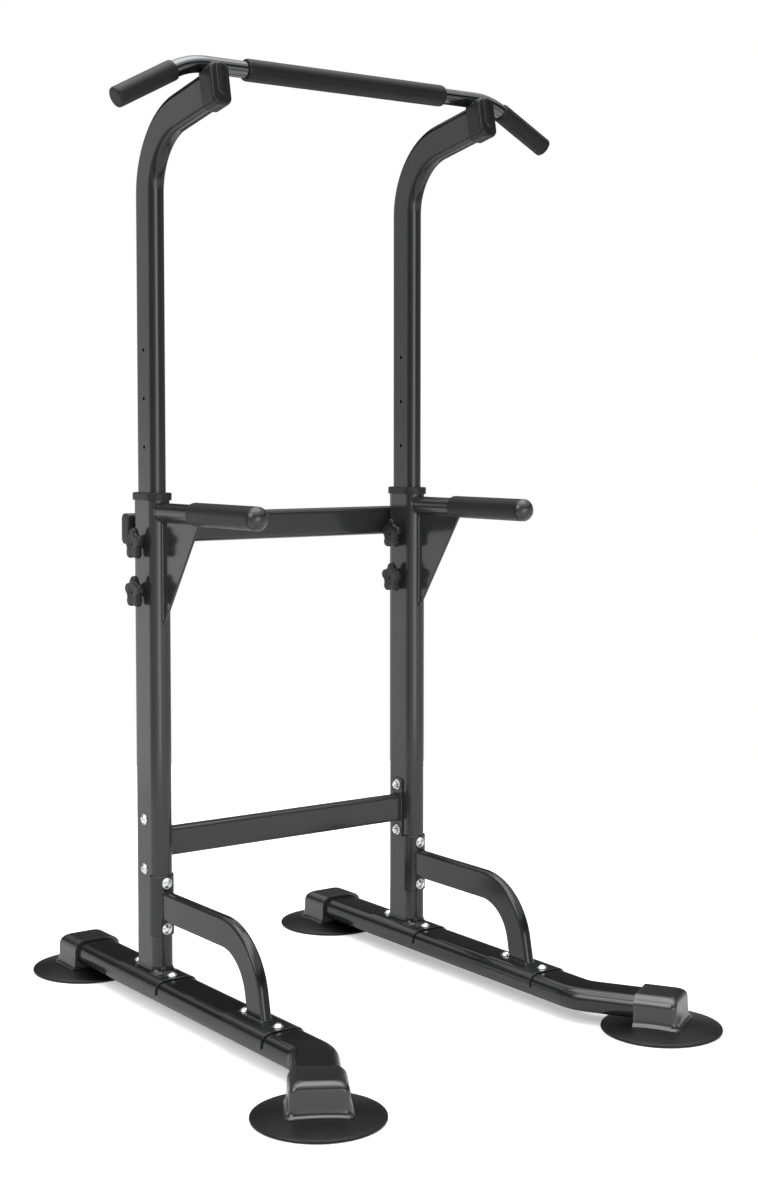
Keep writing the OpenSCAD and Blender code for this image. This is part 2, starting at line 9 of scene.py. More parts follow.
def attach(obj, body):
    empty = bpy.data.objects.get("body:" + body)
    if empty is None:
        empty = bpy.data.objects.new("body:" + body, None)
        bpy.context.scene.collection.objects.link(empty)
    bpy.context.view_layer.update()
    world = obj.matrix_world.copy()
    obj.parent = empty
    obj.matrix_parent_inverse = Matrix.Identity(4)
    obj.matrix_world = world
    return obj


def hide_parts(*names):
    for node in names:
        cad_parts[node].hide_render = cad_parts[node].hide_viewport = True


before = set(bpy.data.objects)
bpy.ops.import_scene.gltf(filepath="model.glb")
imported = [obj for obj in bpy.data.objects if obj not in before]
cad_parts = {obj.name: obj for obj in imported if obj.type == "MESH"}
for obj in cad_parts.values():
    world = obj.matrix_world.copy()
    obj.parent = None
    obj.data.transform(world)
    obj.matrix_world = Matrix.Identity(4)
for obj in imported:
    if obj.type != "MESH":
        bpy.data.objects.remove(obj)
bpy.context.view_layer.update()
rng = random.Random(7)

MM = 0.001
TAU = 2 * math.pi
X, Y, Z = Vector((1, 0, 0)), Vector((0, 1, 0)), Vector((0, 0, 1))
SIDES = {"left": -1, "right": 1}

# Camera: where the photograph was taken from
camera = bpy.data.objects.new("camera", bpy.data.cameras.new("camera"))
bpy.context.scene.collection.objects.link(camera)
camera.location = (-1.8345, -2.6601, 1.0112)
camera.rotation_euler = (math.radians(90 - 3.48), 0, math.radians(-35.73))
camera.data.lens = 55.34
camera.data.sensor_width = 36
camera.data.shift_y = -0.047
bpy.context.scene.camera = camera


# Materials


def nodes_of(name):
    mat = bpy.data.materials.new(name)
    mat.use_nodes = True
    tree = mat.node_tree
    return mat, tree.nodes, tree.links, tree.nodes["Principled BSDF"]


def noise(nodes, links, coords, scale, detail=2.0, rough=0.5):
    n = nodes.new("ShaderNodeTexNoise")
    n.inputs["Scale"].default_value = scale
    n.inputs["Detail"].default_value = detail
    n.inputs["Roughness"].default_value = rough
    links.new(coords.outputs["Object"], n.inputs["Vector"])
    return n


def spread(nodes, links, source, low, high, start=0.3, end=0.7):
    m = nodes.new("ShaderNodeMapRange")
    m.inputs["From Min"].default_value = start
    m.inputs["From Max"].default_value = end
    m.inputs["To Min"].default_value = low
    m.inputs["To Max"].default_value = high
    links.new(source, m.inputs["Value"])
    return m


def finish(name, color, vary, rough, rough_vary, grain, bump, depth, wear=0.0, coat=0.0, metal=0.0, spec=0.5):
    """A procedural finish: blotchy colour and roughness, a fine grain in relief, and edges rubbed lighter."""
    mat, nodes, links, bsdf = nodes_of(name)
    coords = nodes.new("ShaderNodeTexCoord")
    broad = noise(nodes, links, coords, 9, 3)
    fine = noise(nodes, links, coords, grain, 3, 0.6)
    mix = nodes.new("ShaderNodeMix")
    mix.data_type = "RGBA"
    mix.inputs["A"].default_value = (*[c * (1 - vary) for c in color], 1)
    mix.inputs["B"].default_value = (*[c * (1 + vary) for c in color], 1)
    links.new(spread(nodes, links, broad.outputs["Fac"], 0, 1).outputs["Result"], mix.inputs["Factor"])
    top = mix.outputs["Result"]
    if wear:
        geometry = nodes.new("ShaderNodeNewGeometry")
        edge = spread(nodes, links, geometry.outputs["Pointiness"], 0, wear, 0.52, 0.62)
        rub = nodes.new("ShaderNodeMix")
        rub.data_type = "RGBA"
        rub.inputs["B"].default_value = (*[min(1, c * 2.2 + 0.03) for c in color], 1)
        links.new(top, rub.inputs["A"])
        links.new(edge.outputs["Result"], rub.inputs["Factor"])
        top = rub.outputs["Result"]
    links.new(top, bsdf.inputs["Base Color"])
    shine = spread(nodes, links, fine.outputs["Fac"], rough - rough_vary, rough + rough_vary)
    links.new(shine.outputs["Result"], bsdf.inputs["Roughness"])
    relief = nodes.new("ShaderNodeBump")
    relief.inputs["Strength"].default_value = bump
    relief.inputs["Distance"].default_value = depth
    links.new(fine.outputs["Fac"], relief.inputs["Height"])
    links.new(relief.outputs["Normal"], bsdf.inputs["Normal"])
    bsdf.inputs["Metallic"].default_value = metal
    bsdf.inputs["Coat Weight"].default_value = coat
    bsdf.inputs["Coat Roughness"].default_value = 0.12
    bsdf.inputs["Specular IOR Level"].default_value = spec
    return mat


PAINT = finish("powder_coat", (0.0110, 0.0112, 0.0117), 0.10, 0.14, 0.03, 900, 0.05, 0.0003, wear=0.25)
MAST = finish("powder_coat_mast", (0.0110, 0.0112, 0.0117), 0.10, 0.12, 0.03, 900, 0.05, 0.0003, wear=0.25)
BRACKET = finish("powder_coat_bracket", (0.0090, 0.0091, 0.0095), 0.10, 0.30, 0.04, 900, 0.08, 0.0003,
                 wear=0.25, spec=0.35)
COLLAR = finish("collar_plastic", (0.0080, 0.0080, 0.0085), 0.10, 0.45, 0.06, 1200, 0.15, 0.0003,
                wear=0.2, spec=0.35)
CAP = finish("cap_plastic", (0.0120, 0.0120, 0.0124), 0.12, 0.24, 0.04, 1100, 0.12, 0.0003,
             wear=0.3, spec=0.9)
PAD = finish("pad_rubber", (0.0045, 0.0045, 0.0047), 0.15, 0.36, 0.06, 700, 0.22, 0.0004, wear=0.4, spec=0.25)
KNOB = finish("knob_plastic", (0.0080, 0.0080, 0.0084), 0.12, 0.42, 0.06, 1300, 0.2, 0.0003,
              wear=0.3, spec=0.35)
GLOSS = finish("gloss_plastic", (0.0200, 0.0200, 0.0207), 0.08, 0.28, 0.04, 500, 0.05, 0.0003, coat=0.2)
CHROME = finish("bar_chrome", (0.15, 0.151, 0.154), 0.05, 0.18, 0.04, 600, 0.04, 0.0003, metal=1.0)
ZINC = finish("zinc_plate", (0.84, 0.845, 0.85), 0.08, 0.24, 0.06, 900, 0.12, 0.0003, metal=1.0)
BLACK = finish("black_steel", (0.050, 0.050, 0.052), 0.10, 0.34, 0.06, 900, 0.12, 0.0003, metal=1.0)


def foam_finish():
    """Closed-cell foam: fine pores in relief, a soft skin and a faint sheen."""
    mat, nodes, links, bsdf = nodes_of("foam_rubber")
    coords = nodes.new("ShaderNodeTexCoord")
    broad = noise(nodes, links, coords, 14, 4)
    pores = nodes.new("ShaderNodeTexVoronoi")
    pores.inputs["Scale"].default_value = 900
    links.new(coords.outputs["Object"], pores.inputs["Vector"])
    fine = noise(nodes, links, coords, 500, 4, 0.6)
    mix = nodes.new("ShaderNodeMix")
    mix.data_type = "RGBA"
    mix.inputs["A"].default_value = (0.006, 0.006, 0.0064, 1)
    mix.inputs["B"].default_value = (0.010, 0.010, 0.0105, 1)
    links.new(spread(nodes, links, broad.outputs["Fac"], 0, 1).outputs["Result"], mix.inputs["Factor"])
    links.new(mix.outputs["Result"], bsdf.inputs["Base Color"])
    shine = spread(nodes, links, fine.outputs["Fac"], 0.36, 0.50)
    links.new(shine.outputs["Result"], bsdf.inputs["Roughness"])
    grain = nodes.new("ShaderNodeBump")
    grain.inputs["Strength"].default_value = 0.30
    grain.inputs["Distance"].default_value = 0.0004
    links.new(fine.outputs["Fac"], grain.inputs["Height"])
    cells = nodes.new("ShaderNodeBump")
    cells.inputs["Strength"].default_value = 0.16
    cells.inputs["Distance"].default_value = 0.0005
    links.new(pores.outputs["Distance"], cells.inputs["Height"])
    links.new(grain.outputs["Normal"], cells.inputs["Normal"])
    links.new(cells.outputs["Normal"], bsdf.inputs["Normal"])
    bsdf.inputs["Specular IOR Level"].default_value = 0.28
    bsdf.inputs["Sheen Weight"].default_value = 0.04
    bsdf.inputs["Sheen Roughness"].default_value = 0.4
    return mat


FOAM = foam_finish()


# Flat shapes, in millimetres, counter-clockwise


def rounded(w, h, r, k=8):
    """A rounded rectangle, w by h."""
    out = []
    for cx, cy, a0 in ((1, 1, 0), (-1, 1, 90), (-1, -1, 180), (1, -1, 270)):
        for i in range(k + 1):
            a = math.radians(a0 + 90 * i / k)
            out.append((cx * (w / 2 - r) + r * math.cos(a), cy * (h / 2 - r) + r * math.sin(a)))
    return out


def ring(r, n=48):
    return [(r * math.cos(TAU * i / n), r * math.sin(TAU * i / n)) for i in range(n)]


def path(steps, start=(0.0, 0.0), heading=0.0, fine=40):
    """Points (u, v, heading) along straights ("s", length) and bends ("a", radius, degrees)."""
    u, v = start
    h = math.radians(heading)
    out = [(u, v, h)]
    for step in steps:
        if step[0] == "s":
            n = max(1, int(step[1] / 60))
            for i in range(n):
                u += step[1] / n * math.cos(h)
                v += step[1] / n * math.sin(h)
                out.append((u, v, h))
        else:
            _, r, deg = step
            turn = 1 if deg > 0 else -1
            n = max(6, int(abs(deg) / 90 * fine))
            cu, cv = u - turn * r * math.sin(h), v + turn * r * math.cos(h)
            for i in range(n):
                h += math.radians(deg) / n
                u, v = cu + turn * r * math.sin(h), cv - turn * r * math.cos(h)
                out.append((u, v, h))
    return out


def beside(axis):
    """Two directions square to an axis and to each other."""
    side = (Z if abs(axis.z) < 0.9 else X).cross(axis).normalized()
    return side, axis.cross(side)


def turned(at, axis, side, other, height, points):
    """Flat points set square to an axis, at a height along it."""
    return [Vector(at) + axis * height + side * p[0] + other * p[1] for p in points]


def hexagon(apothem, n=48, most=math.inf):
    """A hexagon of n points, its corners rounded off at the most radius."""
    out = []
    for i in range(n):
        a = TAU * i / n
        r = min(apothem / math.cos((a % (TAU / 6)) - TAU / 12), most)
        out.append((r * math.cos(a), r * math.sin(a)))
    return out


# Shape: a growing mesh, in millimetres


class Shape:
    def __init__(self):
        self.verts, self.faces = [], []

    def add(self, verts, faces):
        base = len(self.verts)
        self.verts += [Vector(v) for v in verts]
        self.faces += [tuple(i + base for i in f) for f in faces]

    def loft(self, rings, start=True, end=True, loop=False):
        """Joins rings of equally many points. loop joins the last ring to the first."""
        n = len(rings[0])
        base = len(self.verts)
        for r in rings:
            self.verts += [Vector(p) for p in r]
        last = len(rings) if loop else len(rings) - 1
        for i in range(last):
            a, b = base + i * n, base + ((i + 1) % len(rings)) * n
            self.faces += [(a + j, a + (j + 1) % n, b + (j + 1) % n, b + j) for j in range(n)]
        if start and not loop:
            self.faces.append(tuple(base + j for j in reversed(range(n))))
        if end and not loop:
            self.faces.append(tuple(base + (len(rings) - 1) * n + j for j in range(n)))

    def lathe(self, profile, at, axis, n=48, **ends):
        """Turns (radius, height) pairs about an axis through a point."""
        axis = Vector(axis).normalized()
        side, other = beside(axis)
        self.loft([turned(at, axis, side, other, h, ring(r, n)) for r, h in profile], **ends)

    def box_edge(self, outline, at, right, up, depth, soft=0.6):
        """A plate: an outline with softened rims, depth thick along right x up."""
        right, up = Vector(right), Vector(up)
        out = right.cross(up)
        cut = shrunk(outline, soft)
        levels = [(cut, 0), (outline, soft), (outline, depth - soft), (cut, depth)]
        self.loft([[Vector(at) + right * p[0] + up * p[1] + out * d for p in line] for line, d in levels])

    def moved(self, matrix):
        self.verts = [matrix @ v for v in self.verts]
        return self

    def joined(self, other):
        self.add(other.verts, other.faces)
        return self


def shrunk(outline, by):
    """An outline moved inward along the mean of its edges' normals."""
    n = len(outline)
    out = []
    for i in range(n):
        a, b, c = Vector(outline[i - 1]), Vector(outline[i]), Vector(outline[(i + 1) % n])
        e, f = b - a, c - b
        e = e.normalized() if e.length > 1e-9 else f.normalized()
        f = f.normalized() if f.length > 1e-9 else e
        m = Vector((-e.y - f.y, e.x + f.x))
        m = m.normalized() if m.length > 1e-9 else Vector((-e.y, e.x))
        cos = max(0.35, m.dot(Vector((-e.y, e.x))))
        out.append(tuple(b + m * by / cos))
    return out


def swept(points, outline, at, u_axis, v_axis):
    """Rings of an outline carried along a path. Its x runs to the path's left and its y along u x v."""
    u_axis, v_axis = Vector(u_axis), Vector(v_axis)
    w_axis = u_axis.cross(v_axis)
    rings = []
    for u, v, h in points:
        left = u_axis * -math.sin(h) + v_axis * math.cos(h)
        centre = Vector(at) + u_axis * u + v_axis * v
        rings.append([centre + left * x + w_axis * y for x, y in outline])
    return rings


def tube(points, w, h, r, wall, at, u_axis, v_axis, k=8):
    """A hollow bent tube with cut ends."""
    outer = swept(points, rounded(w, h, r, k), at, u_axis, v_axis)
    inner = swept(points, rounded(w - 2 * wall, h - 2 * wall, r - wall, k), at, u_axis, v_axis)
    shape = Shape()
    shape.loft(outer + inner[::-1], loop=True)
    return shape


def bead(points, radius, closed=True, wave=0.22, step=2.2):
    """A weld bead: a rippled round cord along a line of points."""
    line = [Vector(p) for p in points] + ([Vector(points[0])] if closed else [])
    even, spare = [line[0]], 0.0
    for a, b in zip(line, line[1:]):
        length = (b - a).length
        at = step - spare
        while at < length:
            even.append(a.lerp(b, at / length))
            at += step
        spare = (spare + length) % step
    shape = Shape()
    rings = []
    n = len(even)
    for i, p in enumerate(even):
        before = even[i - 1] if closed or i else p
        after = even[(i + 1) % n] if closed or i < n - 1 else p
        t = (after - before).normalized()
        side = t.orthogonal().normalized() if abs(t.z) > 0.9 else t.cross(Z).normalized()
        up = side.cross(t)
        r = radius * (1 + wave * math.sin(i * 2.1) * 0.5 + rng.uniform(-0.08, 0.08))
        rings.append([p + side * x + up * y for x, y in ring(r, 8)])
    shape.loft(rings, loop=closed)
    return shape


def strip(w, h, r, plate, low, k=10):
    """Outline of a plate bent over a rounded rectangle, from low on one side to low on the other."""
    upper = 2 * (k + 1)
    fat = rounded(w + 2 * plate, h + 2 * plate, r + plate, k)[:upper]
    outer = [(w / 2 + plate, low)] + fat + [(-w / 2 - plate, low)]
    inner = [(w / 2, low)] + rounded(w, h, r, k)[:upper] + [(-w / 2, low)]
    return outer + inner[::-1]


def soft_ends(outline, half, soft=0.7):
    """Rows (outline, distance) of a band from -half to half, with softened rims."""
    cut = shrunk(outline, soft)
    return [(cut, -half), (outline, soft - half), (outline, half - soft), (cut, half)]


# Pieces


def piece(name, shape, material, body, cad, smooth=32, cut=None):
    """Makes the object, rides it on its body and lets it stand for its CAD nodes."""
    mesh = bpy.data.meshes.new(name)
    mesh.from_pydata([v * MM for v in shape.verts], [], shape.faces)
    bm = bmesh.new()
    bm.from_mesh(mesh)
    bmesh.ops.remove_doubles(bm, verts=bm.verts, dist=0.00001)
    bmesh.ops.dissolve_degenerate(bm, edges=bm.edges, dist=0.000005)
    bmesh.ops.recalc_face_normals(bm, faces=bm.faces)
    bm.to_mesh(mesh)
    bm.free()
    obj = bpy.data.objects.new(name, mesh)
    bpy.context.scene.collection.objects.link(obj)
    if cut is not None:
        cutter_mesh = bpy.data.meshes.new("cutter")
        cutter_mesh.from_pydata([v * MM for v in cut.verts], [], cut.faces)
        cutter = bpy.data.objects.new("cutter", cutter_mesh)
        bpy.context.scene.collection.objects.link(cutter)
        boolean = obj.modifiers.new("cut", "BOOLEAN")
        boolean.operation = "DIFFERENCE"
        boolean.solver = "EXACT"
        boolean.object = cutter
    settle(obj, smooth)
    if cut is not None:
        bpy.data.objects.remove(cutter)
        bpy.data.meshes.remove(cutter_mesh)
    obj.data.materials.clear()
    obj.data.materials.append(material)
    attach(obj, body)
    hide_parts(*cad)
    return obj


def settle(obj, angle):
    """Applies what modifiers there are, then shades smoothly up to an angle, flats staying flat."""
    if obj.modifiers:
        applied(obj)
    bm = bmesh.new()
    bm.from_mesh(obj.data)
    for face in bm.faces:
        face.smooth = True
    for edge in bm.edges:
        edge.smooth = len(edge.link_faces) == 2 and edge.calc_face_angle(0) < math.radians(angle)
    bm.to_mesh(obj.data)
    bm.free()
    weighted = obj.modifiers.new("flats", "WEIGHTED_NORMAL")
    weighted.keep_sharp = True
    applied(obj)


def applied(obj):
    bpy.context.view_layer.update()
    done = bpy.data.meshes.new_from_object(obj.evaluated_get(bpy.context.evaluated_depsgraph_get()))
    old = obj.data
    obj.modifiers.clear()
    obj.data = done
    done.name = obj.name
    bpy.data.meshes.remove(old)


def on_side(side):
    return Matrix.Scale(side, 4, X)


# Sizes, in millimetres, as in the CAD model
TUBE_X, BACK = 277, 183
PAD_Y, FLARE, FLARE_LEN, FLARE_R = 444, 31, 142, 65
PAD_X = TUBE_X + FLARE_LEN * math.sin(math.radians(FLARE))
BASE_MID, SADDLE_TOP, SADDLE_HALF, FOOT_HALF, HUG_HALF = 40, 63, 75, 65, 53
UP_TOP, DIP_Z, DIP_FOAM, DIP_END = 892, 872, 148, 347
PIN_Z = {"lower": 732, "upper": 816}
LOW_Z, MID_Z, MID_Y = 287, 840, BACK + 53
BRACE_Z, BRACE_REACH, BRACE_LIFT = 182, 352, 43
FLAT_OVAL = (80, 40, 18)
UPRIGHT_OVAL = (40, 80, 18)
PLATE, WALL = 3, 2
HOLE_PITCH, HOLE_D = 84, 7
BAR_D, GRIP_D, KNOB_LIFT = 28, 40, 8.1
NECK_Z, NECK_R, NECK_A, NECK_LEN = 1420, 128, 79, 109
MAST_FOOT, MAST_W, MAST_D, MAST_R = 545, 30, 64, 13
TIP_Y = BACK - NECK_R * (1 - math.cos(math.radians(NECK_A))) - NECK_LEN * math.sin(math.radians(NECK_A))
TIP_Z = NECK_Z + NECK_R * math.sin(math.radians(NECK_A)) + NECK_LEN * math.cos(math.radians(NECK_A))
TILT = math.radians(90 - NECK_A)
OUT = Vector((0, -math.cos(TILT), math.sin(TILT)))
OVER = Vector((0, math.sin(TILT), math.cos(TILT)))
TIP = Vector((0, TIP_Y, TIP_Z))
BAR = TIP + OVER * 44.6 - OUT * 4.6
BAR_CORNER, BAR_DROOP, BAR_ARM, BAR_BEND = 313, 28, 150, 130
BAR_TAN = BAR_BEND * math.tan(math.radians(BAR_DROOP / 2))


# Bolts: washers as rows of (radius, height)
BOLT_R, WASHER_T = 4, 1.2
WASHER = [(9.3, 0.0), (9.5, 0.25), (9.5, 0.95), (9.3, WASHER_T)]


def dome_bolt(at, axis, shank=0.0):
    """Dome head with a hexagon socket on a washer, sitting on a face and pointing along axis."""
    axis = Vector(axis).normalized()
    side, other = beside(axis)
    head, high, rim, socket, socket_floor = 8.5, 5.0, 3.5, 2.6, 3.0
    dome_r = (head**2 + high**2) / (2 * high)
    rows = WASHER + [(head, WASHER_T), (head, WASHER_T + 0.3)]
    for i in range(1, 9):
        r = head - (head - rim) * i / 8
        rows.append((r, WASHER_T + high - dome_r + math.sqrt(dome_r**2 - r**2)))
    top = rows[-1][1]
    sections = [(ring(r), h) for r, h in rows]
    sections += [(hexagon(socket + 0.15), top - 0.05), (hexagon(socket), top - 0.3)]
    sections.append((hexagon(socket), socket_floor))
    shape = Shape()
    shape.loft([turned(at, axis, side, other, h, points) for points, h in sections])
    if shank:
        shape.lathe([(BOLT_R, -shank), (BOLT_R, 0.3)], at, axis, 32)
    return shape


def hex_nut(at, axis, high=5.0, washer=True, stud=3.0):
    """Chamfered nut on a washer, with the end of its bolt."""
    axis = Vector(axis).normalized()
    side, other = beside(axis)
    flats, corners = 6.5, 7.5
    shape = Shape()
    lift = 0.0
    if washer:
        shape.lathe(WASHER, at, axis)
        lift = WASHER_T
    levels = [(0, 0.7), (0.7, 0), (high - 0.9, 0), (high, 0.9)]
    shape.loft([turned(at, axis, side, other, lift + h, hexagon(flats, most=corners - chamfer))
                for h, chamfer in levels])
    top = lift + high
    shape.lathe([(BOLT_R, top - 1), (BOLT_R, top + stud - 0.8), (BOLT_R - 0.8, top + stud)], at, axis, 32)
    return shape


# Base tubes
for label, side in SIDES.items():
    tangent = FLARE_R * math.tan(math.radians(FLARE / 2))
    bend_y = -PAD_Y + FLARE_LEN * math.cos(math.radians(FLARE))
    in_cap = 33
    rear = PAD_Y + in_cap
    way = path([("s", rear - bend_y - tangent), ("a", FLARE_R, FLARE), ("s", FLARE_LEN + in_cap - tangent)],
               fine=60)
    base = tube(way, *FLAT_OVAL, WALL, (TUBE_X, rear, BASE_MID), -Y, X, 10).moved(on_side(side))
    piece(f"v_base_tube_{label}", base, PAINT, "base_frame", [f"base_tube_{label}"])


def at_foot(front, side):
    if front:
        place = Matrix.Translation((PAD_X, -PAD_Y, 0)) @ Matrix.Rotation(math.radians(FLARE), 4, "Z")
    else:
        place = Matrix.Translation((TUBE_X, PAD_Y, 0)) @ Matrix.Rotation(math.pi, 4, "Z")
    return on_side(side) @ place


# Top of the rubber disc: (radius, height)
DISC = [(0, 15.2), (34, 14.8), (50, 13.6), (66, 11.2), (82, 8.6), (96, 6.2), (101, 5.0)]


def disc_height(r):
    """Top of the rubber disc at a radius inside its rim."""
    for (r0, z0), (r1, z1) in zip(DISC, DISC[1:]):
        if r <= r1:
            return z0 + (z1 - z0) * (r - r0) / (r1 - r0)
    return DISC[-1][1]


# The cap's wall: (height, how far it flares out), then the heights of its rounded shoulders
CAP_FLARE = [(0.0, 5.4), (1.6, 5.6), (2.8, 5.0), (3.6, 3.4), (5.4, 2.0), (8.5, 1.1), (13.0, 0.5), (20.0, 0.1)]
CAP_SHOULDERS = (27, 33, 37, 40, 42.5, 44.5, 46.2, 47.7, 49.0, 50.1, 50.9, 51.5, 51.85, 52.0)
CAP_FOOT, CAP_HIGH, CAP_MOUTH = 13, 52.0, 37.0


def pulled_in(z, r):
    """How far a wall leans in where the top edge is rounded to a radius."""
    d = z - (CAP_HIGH - r)
    return 0.0 if d <= 0 else r - math.sqrt(max(0.0, r * r - d * d))


def cap_row(z, flare):
    """The cap's outline at a height: from one end of the mouth, round the toe, to the other end."""
    half_w, toe_y, shoulder, toe = 46.0, -37.0, 19.0, 13.0
    along, round_corner, across = 7, 8, 10
    w = half_w + flare - pulled_in(z, shoulder)
    y_end = toe_y - flare + pulled_in(z, toe) + 1.5 * z / CAP_HIGH
    r = 10.0 + flare * 0.3
    half = [(-w, CAP_MOUTH)]
    half += [(-w, CAP_MOUTH + (y_end + r - CAP_MOUTH) * (i + 1) / along) for i in range(along)]
    for i in range(1, round_corner + 1):
        a = math.radians(90 * i / round_corner)
        half.append((-w + r - r * math.cos(a), y_end + r - r * math.sin(a)))
    toe_line = [(-w + r + (2 * w - 2 * r) * i / across, y_end) for i in range(1, across)]
    outline = half + toe_line + [(-x, y) for x, y in reversed(half)]
    hug = max(0.0, 1 - z / 20)
    return [Vector((x, y, CAP_FOOT + z + hug * (disc_height(math.hypot(x, y)) - CAP_FOOT - 0.2)))
            for x, y in outline]


def filled_between(outer, inner):
    """Triangles between a loop and a hole in it: their points, and faces by index."""
    bm = bmesh.new()
    loops = [[bm.verts.new(v) for v in loop] for loop in (outer, inner)]
    edges = [bm.edges.new((loop[i - 1], loop[i])) for loop in loops for i in range(len(loop))]
    filled = bmesh.ops.triangle_fill(bm, use_beauty=True, edges=edges)
    index = {v: i for i, v in enumerate(bm.verts)}
    faces = [tuple(index[v] for v in f.verts) for f in filled["geom"] if isinstance(f, bmesh.types.BMFace)]
    points = [v.co.copy() for v in bm.verts]
    bm.free()
    return points, faces


def foot_cap():
    """Boot over the tube's end: walls that flare to a lip on the disc, broad shoulders and a tighter toe."""
    rows = [cap_row(z, flare) for z, flare in CAP_FLARE + [(z, 0.0) for z in CAP_SHOULDERS]]
    n = len(rows[0])
    shape = Shape()
    for row in rows:
        shape.verts += row
    for a in range(0, (len(rows) - 1) * n, n):
        shape.faces += [(a + j, a + j + 1, a + n + j + 1, a + n + j) for j in range(n - 1)]
    top = (len(rows) - 1) * n
    shape.faces.append(tuple(top + j for j in range(n)))
    shape.faces.append(tuple(reversed(range(n))))
    # the mouth: a face between the wall's edge and the slot for the tube, and the slot's sleeve
    edge = [row[0] for row in rows] + [row[-1] for row in reversed(rows)]
    slot = [Vector((x, CAP_MOUTH, BASE_MID + z)) for x, z in rounded(82.2, 42.2, 19.1)]
    shape.add(*filled_between(edge, slot))
    shape.loft([slot, [v - 14 * Y for v in slot]], start=False)
    return shape


for label, side in SIDES.items():
    for end in ("front", "rear"):
        place = at_foot(end == "front", side)
        piece(f"v_foot_cap_{end}_{label}", foot_cap().moved(place), CAP, "base_frame",
              [f"foot_cap_{end}_{label}"], smooth=40)
        disc = Shape()
        profile = [(0, 3), (60, 3), (88, 0.4), (90, 0), (101.5, 0), (102.6, 0.6), (103, 1.6), (103, 3.2),
                   (102.4, 4.4), (101, 5.0)]
        profile += [(r, disc_height(r)) for r in (98, 96, 90, 82, 74, 66, 58, 50, 42, 34, 20, 0)]
        disc.lathe(profile, (0, 0, 0), Z, 96, start=False, end=False)
        piece(f"v_foot_pad_{end}_{label}", disc.moved(place), PAD, "base_frame",
              [f"foot_pad_{end}_{label}"], smooth=50)


# Uprights, with the weld round each foot
for label, side in SIDES.items():
    x = side * TUBE_X
    post = tube([(0, 0, 0), (UP_TOP - SADDLE_TOP, 0, 0)], *FLAT_OVAL, WALL, (x, BACK, SADDLE_TOP), Z, Y, 10)
    section = rounded(*UPRIGHT_OVAL, 10)
    weld = [(5.6, -0.2), (5.0, 0.9), (3.4, 2.4), (1.9, 4.6), (0.9, 7.4), (0.3, 10.5), (-0.3, 12.0)]
    post.loft([[Vector((x + p[0], BACK + p[1], SADDLE_TOP + z)) for p in shrunk(section, -grow)]
               for grow, z in weld])
    piece(f"v_upright_{label}", post, PAINT, "base_frame", [f"upright_{label}"])

    saddle = Shape()
    saddle.loft([[Vector((x + p[0], BACK + d, BASE_MID + p[1])) for p in line]
                 for line, d in soft_ends(strip(*FLAT_OVAL, PLATE, -2), SADDLE_HALF)])
    piece(f"v_upright_saddle_{label}", saddle, PAINT, "base_frame",
          [f"upright_saddle_{label}"])

    collar = Shape()
    outline, hole = rounded(47, 87, 21.5, 10), rounded(MAST_W + 0.6, MAST_D + 0.6, MAST_R + 0.3, 10)
    plug = rounded(35.9, 75.9, 16, 10)
    body_rows = [(plug, -24), (plug, -0.05), (outline, -0.05), (outline, 11.2), (shrunk(outline, 0.5), 12.4),
                 (shrunk(outline, 1.8), 13), (shrunk(hole, -0.8), 13), (hole, 12.2), (hole, -24)]
    collar.loft([[Vector((x + p[0], BACK + p[1], UP_TOP + z)) for p in line] for line, z in body_rows],
                loop=True)
    piece(f"v_collar_{label}", collar, COLLAR, "base_frame", [f"collar_{label}"])

    bosses = Shape()
    profile = [(5.05, -4.4), (10, -4.4), (10, 1.0), (9.5, 1.5), (5.6, 1.5), (5.05, 1.0)]
    for z in PIN_Z.values():
        bosses.lathe(profile, (x - 20, BACK, z), -X, loop=True)
    piece(f"v_pin_bosses_{label}", bosses, PAINT, "base_frame", [f"pin_bosses_{label}"])


# Bolts of the base
saddle_bolts, brace_bolts, low_bolts, low_nuts, mid_bolts = Shape(), Shape(), Shape(), Shape(), Shape()
for side in SIDES.values():
    x = side * TUBE_X
    for dy in (-59, 59):
        saddle_bolts.joined(dome_bolt((x, BACK + dy, SADDLE_TOP), Z, 12))
        saddle_bolts.joined(hex_nut((x, BACK + dy, SADDLE_TOP - 5), -Z, washer=False, stud=2))
    for dz in (-40.5, 40.5):
        brace_bolts.joined(dome_bolt((x, BACK - BRACE_LIFT, BRACE_Z + dz), -Y, 12))
        brace_bolts.joined(hex_nut((x, BACK - 38 + 1.1, BRACE_Z + dz), Y, washer=False, stud=2))
    for dy in (-50, 50):
        brace_bolts.joined(dome_bolt((x, BACK - BRACE_REACH + dy, SADDLE_TOP), Z, 12))
        brace_bolts.joined(hex_nut((x, BACK - BRACE_REACH + dy, SADDLE_TOP - 5), -Z, washer=False, stud=2))
    for dz in (-44, 44):
        low_bolts.joined(dome_bolt((side * (TUBE_X + 20), BACK, LOW_Z + dz), (side, 0, 0), 49))
        low_nuts.joined(hex_nut((side * (TUBE_X - 23), BACK, LOW_Z + dz), (-side, 0, 0)))
    mid_bolts.joined(dome_bolt((x, BACK + 66, MID_Z), Y, 33))
for name, shape in (("saddle_bolts", saddle_bolts), ("brace_bolts", brace_bolts),
                    ("lower_crossbar_bolts", low_bolts), ("lower_crossbar_nuts", low_nuts),
                    ("rear_crossbar_bolts", mid_bolts)):
    piece(f"v_{name}", shape, ZINC, "base_frame", [name], smooth=28)


